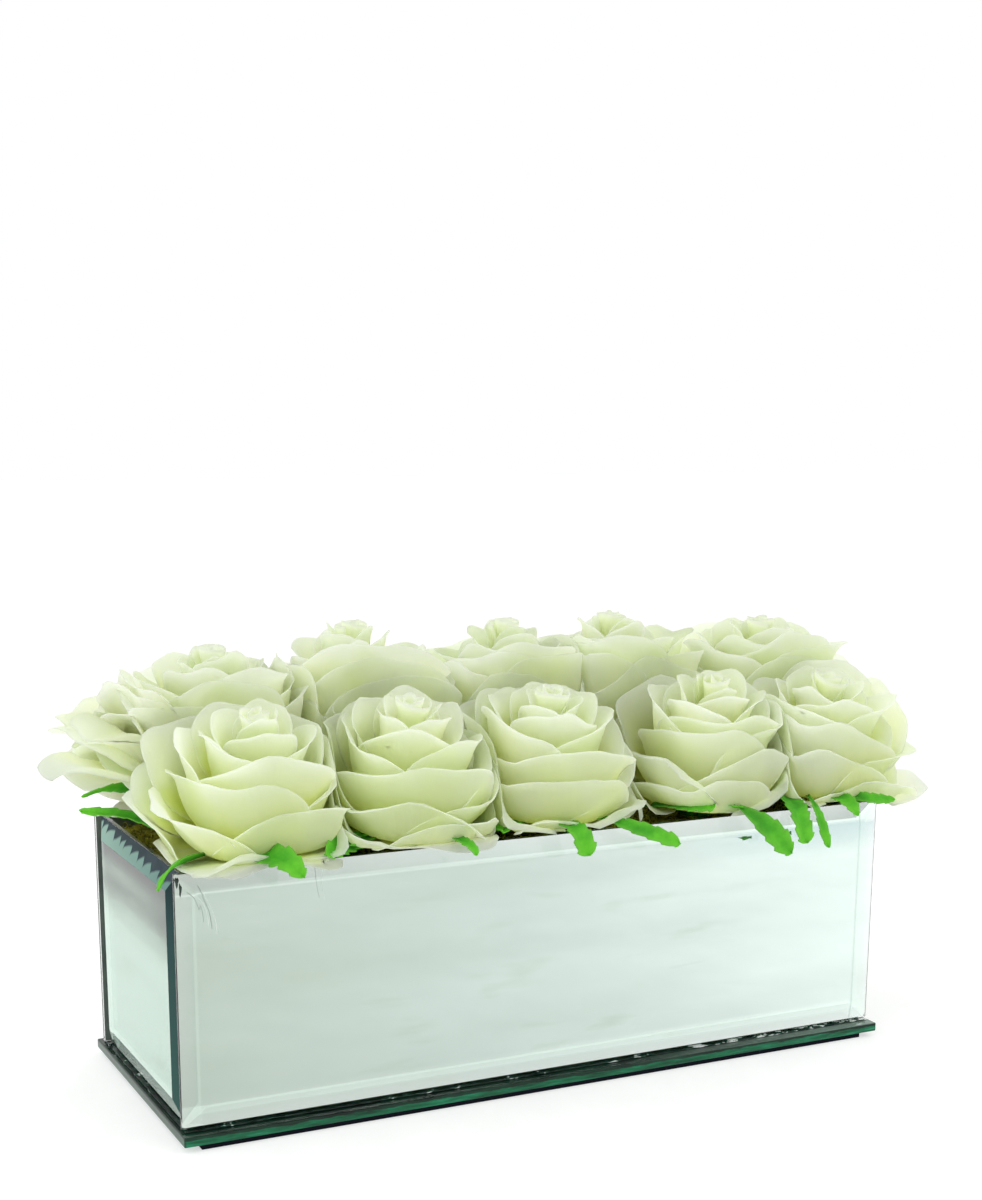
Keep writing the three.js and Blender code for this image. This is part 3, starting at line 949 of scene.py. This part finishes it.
def build_petals(name, index):
    """A head's rolled centre and tiers of petals, then the broad ones that reach out or hang low."""
    rose = ROSES[name]
    turn, base = head_place(name)

    def placed(grid):
        return fit_in_cell(name, grid @ turn.T + base)

    inner, outer = Sheets(), Sheets()
    seed = 100 * (index + 1)
    grid, along, edge = spiral_core(HEAD_HEIGHT + rose.bud, seed)
    inner.add(placed(grid), along, edge, 0.5)
    rng = np.random.default_rng(seed)
    phase = 0.0
    for level, tier in enumerate(TIERS):
        phase += PI / tier.count + rng.normal(0, 0.12)
        for k in range(tier.count):
            seed += 1
            around = phase + 2 * PI * k / tier.count + rng.normal(0, 0.08)
            grid, along, edge = petal(tier, rose.bloom, rose.lift, rose.bud, around, seed)
            sheets = inner if level < INNER_TIERS else outer
            cloth = placed(grid)
            sheets.add(cloth, along, edge, rng.random())
            if name.startswith("rose_front") and level >= INNER_TIERS and rng.random() < THREAD_SHARE:
                loose_thread(sheets, cloth, rng)
            if rng.random() < CRUMB_SHARE:
                crumb(sheets, cloth, rng)
    low_petals = BACK_SKIRT if name.startswith("rose_back") else []
    for heading, reach, height, half in rose.spread + low_petals:
        seed += 1
        tier = TIERS[-1]._replace(open=(reach, height), half=half, wave=REACHING_WAVE)
        around = math.radians(heading - rose.spin)
        grid, along, edge = petal(tier, 1.0, 0, 0, around, seed, ROUND_SHOULDERS)
        outer.add(placed(grid), np.maximum(along, PALE_FROM), edge, 0.0)
    for sheets, part in ((inner, "inner_petals"), (outer, "outer_petals")):
        piece = sheets.build(f"{name}_{part}_cloth", PETAL, CLOTH)
        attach(piece, name)
        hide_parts(f"{name}_{part}")


# ---- sepals ----

def along_path(stops, steps):
    """Evenly spaced points on a smooth curve through the stops, and the directions along it."""
    stops = np.array(stops, float)
    lengths = np.concatenate([[0], np.cumsum(np.linalg.norm(np.diff(stops, axis=0), axis=1))])
    padded = np.concatenate([[2 * stops[0] - stops[1]], stops, [2 * stops[-1] - stops[-2]]])
    points = []
    for place in np.linspace(0, lengths[-1], steps):
        i = min(np.searchsorted(lengths, place, side="right") - 1, len(stops) - 2)
        t = (place - lengths[i]) / (lengths[i + 1] - lengths[i])
        a, b, c, d = padded[i:i + 4]
        points.append(0.5 * (2 * b + (c - a) * t + (2 * a - 5 * b + 4 * c - d) * t**2
                             + (3 * b - a - 3 * c + d) * t**3))
    points = np.array(points)
    return points, np.gradient(points, axis=0)


# Leaf outlines: width of the neck, where the blade starts to widen, where its tip starts.
LEAF_OUTLINES = {"blade": (0.3, 0.0, 0.6), "spoon": (0.24, 0.28, 0.8), "strap": (0.72, 0.0, 0.88)}
LEAF_ROWS, LEAF_COLUMNS = 56, 9
TEETH, TOOTH_DEPTH = 8, 0.26
LEAF_FOLD = 0.22
UP = (0, 0, 1)


def leaf(sheets, stops, face_end, half, outline, seed):
    """A cloth leaf along a path: neck, saw-toothed blade folded along its middle, ragged tip. It faces
    up at its root and towards face_end at its tip."""
    neck, widen, tip_start = LEAF_OUTLINES[outline]
    rng = np.random.default_rng(seed)
    spine, heading = along_path(stops, LEAF_ROWS)
    t = np.linspace(0, 1, LEAF_ROWS)[:, None]
    u = np.linspace(-1, 1, LEAF_COLUMNS)[None, :]
    face = np.array(UP, float) * (1 - t) + np.array(face_end, float) * t
    side = np.cross(heading, face)
    side /= np.linalg.norm(side, axis=1, keepdims=True)
    up = np.cross(side, heading)
    up /= np.linalg.norm(up, axis=1, keepdims=True)
    blade = neck + (1 - neck) * smooth((t - widen) / 0.4)
    blade = blade * (1 - np.clip((t - tip_start) / (1 - tip_start), 0, 1) ** 2.2) ** 0.55
    left_saw = (t * TEETH + rng.random()) % 1.0
    right_saw = (t * TEETH + rng.random()) % 1.0
    saw = np.where(u < 0, left_saw, right_saw)
    reach = half * blade * (1 - TOOTH_DEPTH * saw * smooth((t - widen - 0.15) / 0.2))
    bow = LEAF_FOLD * half * np.abs(u) + 0.5 * np.sin(t * 9 + 6 * rng.random()) * u
    points = spine[:, None, :] + side[:, None, :] * (u * reach)[..., None]
    points = points + up[:, None, :] * bow[..., None]
    edge = np.exp(-(1 - np.abs(u)) * 3.0) * np.ones_like(t)
    sheets.add(points, t * np.ones_like(u), edge, rng.random())


# Sepals that show beside each head: path, way the blade faces at its end, half width, outline.
TO_FRONT = (-0.2, -0.8, 0.6)
DOWN_FRONT, DOWN_LEFT, DOWN_RIGHT = (0, -1, 0.1), (-1, 0, 0.1), (1, 0, 0.1)
SEPALS = {
    "rose_front_1": [
        ([(-125, -36, 104), (-140, -48, 104.5), (-152, -57, 103.5), (-159, -66, 99)],
         DOWN_LEFT, 3.6, "blade"),
        ([(-112, -40, 104), (-118, -54, 105), (-113, -64, 104.5), (-108, -70, 99)],
         DOWN_FRONT, 5.6, "blade"),
        ([(-132, -24, 104), (-141, -6, 107.5), (-150, 10, 109.5), (-162, 27, 108.5)],
         TO_FRONT, 3.0, "blade"),
        ([(-98, -38, 104), (-88, -46, 104), (-80, -54, 104)], UP, 4.5, "blade"),
    ],
    "rose_front_2": [
        ([(-66, -40, 104), (-78, -46, 104.5), (-88, -52, 105), (-97, -60, 104)], DOWN_FRONT, 5.0, "blade"),
        ([(-44, -44, 104), (-44, -58, 104.5), (-42, -66, 103), (-41, -69, 100)], DOWN_FRONT, 2.6, "blade"),
        ([(-38, -34, 104), (-28, -44, 104), (-22, -52, 104)], UP, 4.0, "blade"),
    ],
    "rose_front_3": [
        ([(4, -38, 104), (2, -54, 105), (3, -65, 104), (6, -68, 95)], DOWN_FRONT, 4.8, "strap"),
        ([(14, -40, 104), (20, -55, 105), (31, -66, 102), (46, -68, 96)], DOWN_FRONT, 3.2, "strap"),
        ([(-8, -36, 104), (-18, -46, 104), (-24, -56, 104)], UP, 3.6, "blade"),
    ],
    "rose_front_4": [
        ([(50, -38, 104), (54, -48, 106), (60, -55, 107.5), (68, -58, 107.5)], TO_FRONT, 4.4, "strap"),
        ([(76, -42, 104), (78, -56, 105.5), (87, -66, 98), (98, -68, 87)], DOWN_FRONT, 5.4, "spoon"),
        ([(70, -36, 104), (72, -50, 105), (80, -60, 105)], UP, 4.2, "blade"),
    ],
    "rose_front_5": [
        ([(112, -44, 104), (105, -56, 105.5), (103, -65, 102), (106, -67, 90)], DOWN_FRONT, 5.0, "strap"),
        ([(122, -42, 104), (114, -57, 105.5), (112, -66, 101), (117, -67, 87)], DOWN_FRONT, 2.3, "spoon"),
        ([(124, -44, 104), (127, -58, 105), (128, -65, 103.5), (130, -68, 99)], DOWN_FRONT, 4.0, "blade"),
        ([(134, -44, 104), (136, -56, 104.5), (142, -62, 104), (152, -63, 103)], DOWN_FRONT, 2.6, "blade"),
    ],
    "rose_back_1": [
        ([(-128, 20, 110), (-142, 12, 117), (-155, 4, 121), (-168, -2, 120)], DOWN_LEFT, 3.0, "blade"),
    ],
    "rose_back_5": [
        ([(160, 26, 106), (172, 22, 105), (180, 18, 101)], DOWN_RIGHT, 4.4, "blade"),
    ],
}
SEPAL_COUNT = 5
HIDDEN_SEPAL = [(7, 105), (16, 104.5), (26, 104)]  # its path: (distance from the stem, height)
CUP = [(2.2, -9), (4.6, -7.5), (6.2, -4.5), (6.6, -1), (7.6, 2.5), (9.5, 4.5)]  # (radius, height)


def build_calyx(name, index):
    """The green cup under a head and its sepals; the ones not listed above lie out of sight around it."""
    rng = np.random.default_rng(900 + index)
    turn, base = head_place(name)
    side = cell_of(name)[1]
    sheets = Sheets()
    around = np.linspace(0, 2 * PI, 25)[None, :]
    levels = np.array(CUP, float)
    radius = levels[:, :1] * (1 + 0.05 * np.sin(5 * around))
    height = levels[:, 1:] * np.ones_like(around)
    cup = np.stack([radius * np.cos(around), radius * np.sin(around), height], -1)
    sheets.add(cup @ turn.T + base, 0.3, 0.0, 0.5)
    listed = SEPALS.get(name, [])
    for number, (stops, face_end, half, outline) in enumerate(listed):
        leaf(sheets, stops, face_end, half, outline, 50 * index + number)
    start = math.radians(90 * side)
    for number in range(SEPAL_COUNT - len(listed)):
        heading = start + (number - 1) * 0.8 + rng.normal(0, 0.15)
        out = np.array([math.cos(heading), math.sin(heading), 0])
        foot = np.array([base[0], base[1], 0])
        stops = [foot + out * distance + (0, 0, height) for distance, height in HIDDEN_SEPAL]
        leaf(sheets, stops, UP, rng.uniform(3.4, 4.8), "blade", 50 * index + 20 + number)
    piece = sheets.build(f"{name}_calyx_cloth", SEPAL, LEAF_CLOTH)
    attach(piece, name)
    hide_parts(f"{name}_calyx")


# ---- glue on the front ----

# Threads of glue left on the front glass: stops as (x, z), and half width.
STRANDS = [
    ([(-143, 93), (-141, 90.5), (-139.5, 86.5), (-139, 82)], 0.05),
    ([(-140.5, 94), (-138.5, 89.5), (-136.8, 85), (-136, 79)], 0.07),
    ([(-97.1, 101), (-96.4, 97), (-96.6, 92), (-95.6, 86)], 0.04),
]
# Dark lumps of glue in the front left corner: (distance from the panel's end, height, half width,
# half height).
SMUDGES = [(0.8, 98.4, 0.6, 1.8), (1.9, 95.6, 0.4, 2.2)]
GLUE_STANDOFF = 0.2  # about how far both stand off the glass
GLUE_THICKNESS = 0.12
STRAND_STEPS = 24


def build_front_glue():
    """Threads and lumps of glue on the front panel, the lumps on the slope of its bevel."""
    y = FRONT_LOW[1] - GLUE_STANDOFF
    strands = Sheets()
    for stops, half in STRANDS:
        spine, heading = along_path([(x, y, z) for x, z in stops], STRAND_STEPS)
        across = np.stack([-heading[:, 2], np.zeros(STRAND_STEPS), heading[:, 0]], -1)
        across *= half / np.linalg.norm(across, axis=1, keepdims=True)
        strands.add(np.stack([spine - across, spine + across], 1), 0.5, 0.0, 0.5)
    smudges = Sheets()
    around = np.linspace(0, 2 * PI, 19)[None, :]
    ring = np.linspace(0, 1, 4)[:, None]
    edge_y = HALF_WIDTH - BEVEL_EDGE - GLUE_STANDOFF
    for number, (inset, height, half_x, half_z) in enumerate(SMUDGES):
        ragged = 1 + 0.25 * np.sin(3 * around + number) + 0.12 * np.sin(7 * around)
        x = -HALF_LENGTH + inset + half_x * ring * ragged * np.cos(around)
        z = height + half_z * ring * ragged * np.sin(around)
        slope = (GLASS - BEVEL_EDGE) / BEVEL_WIDTH * np.maximum(x + HALF_LENGTH, 0)
        bulge = 0.5 * np.sqrt(1 - 0.98 * ring**2)
        smudges.add(np.stack([x, -edge_y - slope - bulge, z], -1), 0.5, 0.0, 0.5)
    for name, sheets, material in (("strands", strands, STRAND), ("smudges", smudges, GLUE)):
        piece = sheets.build(f"front_panel_glue_{name}", material, GLUE_THICKNESS)
        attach(piece, "trough")
        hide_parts("front_panel")


# ---- moss ----

TUFT_COUNT = 9000
FIBRE_THICKNESS = 0.12
MOSS_COLUMNS, MOSS_ROWS = 150, 56


def build_moss():
    """A lumpy mat inside the walls, with short bent fibres standing out of it."""
    rng = np.random.default_rng(41)
    low, high = MOSS_LOW, MOSS_HIGH
    columns, rows = MOSS_COLUMNS, MOSS_ROWS
    x = np.linspace(low[0], high[0], columns)[None, :] * np.ones((rows, 1))
    y = np.linspace(low[1], high[1], rows)[:, None] * np.ones((1, columns))
    ground = np.stack([x, y, np.zeros_like(x)], -1)
    lumps = 1.6 * wander(ground, 22.0, 3) + 1.0 * wander(ground, 7.0, 4) + 0.5 * wander(ground, 3.0, 5)
    top = high[2] + 0.5 + lumps
    inset = np.minimum(np.minimum(x - low[0], high[0] - x), np.minimum(y - low[1], high[1] - y))
    top -= 1.0 * np.exp(-inset / 2.0)
    upper = np.stack([x, y, top], -1).reshape(-1, 3)
    lower = np.stack([x, y, np.full_like(x, low[2])], -1).reshape(-1, 3)
    count = rows * columns
    faces = grid_faces(rows, columns)
    faces += [tuple(count + k for k in reversed(face)) for face in grid_faces(rows, columns)]
    rim = list(range(columns))
    rim += [i * columns + columns - 1 for i in range(1, rows)]
    rim += [(rows - 1) * columns + j for j in range(columns - 2, -1, -1)]
    rim += [i * columns for i in range(rows - 2, 0, -1)]
    faces += [(a, count + a, count + b, b) for a, b in zip(rim, rim[1:] + rim[:1])]
    lot = np.concatenate([0.5 + 0.4 * wander(ground, 9.0, 8).ravel()] * 2)
    mat = make_object("moss_mat_pile", np.concatenate([upper, lower]), faces, [MOSS],
                      attributes={"lot": lot, "along": np.zeros(2 * count), "edge": np.zeros(2 * count)})
    tufts = Sheets()
    steps = np.linspace(0, 1, 4)
    for _ in range(TUFT_COUNT):
        foot_x = rng.uniform(low[0] + 1, high[0] - 1)
        foot_y = rng.uniform(low[1] + 1, high[1] - 1)
        column = int((foot_x - low[0]) / (high[0] - low[0]) * (columns - 1))
        row = int((foot_y - low[1]) / (high[1] - low[1]) * (rows - 1))
        foot = np.array([foot_x, foot_y, top[row, column] - 0.4])
        heading, length = rng.uniform(0, 2 * PI), rng.uniform(2.0, 5.5)
        out = np.array([math.cos(heading), math.sin(heading), 0])
        across = np.array([-out[1], out[0], 0]) * rng.uniform(0.12, 0.3)
        rise = rng.uniform(0.5, 2.6)
        blade = []
        for s in steps:
            spot = foot + out * length * s + (0, 0, rise * math.sin(PI * s * 0.7))
            half = across * (1 - 0.7 * s)
            blade.append([spot - half, spot + half])
        blade = np.array(blade)
        blade[..., 0] = np.clip(blade[..., 0], low[0], high[0])
        blade[..., 1] = np.clip(blade[..., 1], low[1], high[1])
        tufts.add(blade, steps[:, None], 0.0, rng.random())
    fibres = tufts.build("moss_mat_fibres", MOSS, FIBRE_THICKNESS)
    for piece in (mat, fibres):
        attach(piece, "insert")
        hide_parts("moss_mat")


# ---- stage ----

CAMERA_PLACE = (-328.8, -664.7, 258.6)
CAMERA_YAW, CAMERA_PITCH, CAMERA_ROLL = 26.22, 13.0, 0.315
FOCAL_PIXELS, FRAME_HEIGHT, SENSOR = 1871.0, 1200.0, 36.0
CENTRE_DROP = 240.0  # how far the optical axis lies below the frame's middle, in the frame's units


def build_camera():
    """A camera with a shifted lens, looking slightly down at the front and the left end."""
    yaw, pitch, roll = (math.radians(a) for a in (CAMERA_YAW, CAMERA_PITCH, CAMERA_ROLL))
    forward = Vector((math.sin(yaw) * math.cos(pitch), math.cos(yaw) * math.cos(pitch), -math.sin(pitch)))
    right = Vector((math.cos(yaw), -math.sin(yaw), 0))
    up = right.cross(forward)
    rolled_right = math.cos(roll) * right + math.sin(roll) * up
    rolled_up = math.cos(roll) * up - math.sin(roll) * right
    data = bpy.data.cameras.new("camera")
    data.sensor_width = SENSOR
    data.lens = FOCAL_PIXELS / FRAME_HEIGHT * SENSOR
    data.shift_y = CENTRE_DROP / FRAME_HEIGHT
    data.clip_start, data.clip_end = 0.01, 30
    camera = bpy.data.objects.new("camera", data)
    axes = Matrix((rolled_right, rolled_up, -forward)).transposed().to_4x4()
    camera.matrix_world = Matrix.Translation(Vector(CAMERA_PLACE) * MM) @ axes
    bpy.context.scene.collection.objects.link(camera)
    bpy.context.scene.camera = camera


# Soft lights aimed at the middle of the box, in metres and watts: place, side length, power.
LIGHTS = {"key": ((1.1, -0.9, 1.3), 1.2, 4.6), "fill": ((-1.3, -0.1, 0.9), 1.0, 4.4)}
LIGHT_TARGET = (0, 0, 0.1)
FLOOR_HALF = 6000
FLOOR_GLOW = 0.56


def area_light(name, place, side, power):
    data = bpy.data.lights.new(name, "AREA")
    data.shape = "RECTANGLE"
    data.size = data.size_y = side
    data.energy = power
    light = bpy.data.objects.new(name, data)
    light.location = place
    light.rotation_euler = (Vector(LIGHT_TARGET) - Vector(place)).to_track_quat("-Z", "Y").to_euler()
    bpy.context.scene.collection.objects.link(light)


def build_stage():
    """A pale floor, an even white surrounding and two soft lights."""
    n = Nodes("floor_paper")
    grain = n.noise(40)
    colour = n.two_tones(grain, (0.48, 0.49, 0.485, 1), (0.52, 0.525, 0.52, 1))
    paper = n.surface(
        Base_Color=colour, Roughness=0.9, Specular_IOR_Level=0.2, Emission_Color=(1, 1, 1, 1),
        Emission_Strength=FLOOR_GLOW,
    )
    corners = [(FLOOR_HALF * sx, FLOOR_HALF * sy, 0) for sx, sy in ((-1, -1), (1, -1), (1, 1), (-1, 1))]
    floor = make_object("floor", corners, [(0, 1, 2, 3)], [paper], is_smooth=False)
    world = bpy.data.worlds.new("studio")
    bpy.context.scene.world = world
    world.use_nodes = True
    background = world.node_tree.nodes["Background"].inputs
    background["Color"].default_value = (1.0, 1.0, 1.0, 1)
    background["Strength"].default_value = 1.0
    for name, (place, side, power) in LIGHTS.items():
        area_light(name, place, side, power)
    bpy.context.scene.view_settings.view_transform = "Standard"


build_camera()
build_stage()
build_trough()
build_front_glue()
build_moss()
for position, rose_name in enumerate(ROSES):
    build_petals(rose_name, position)
    build_calyx(rose_name, position)
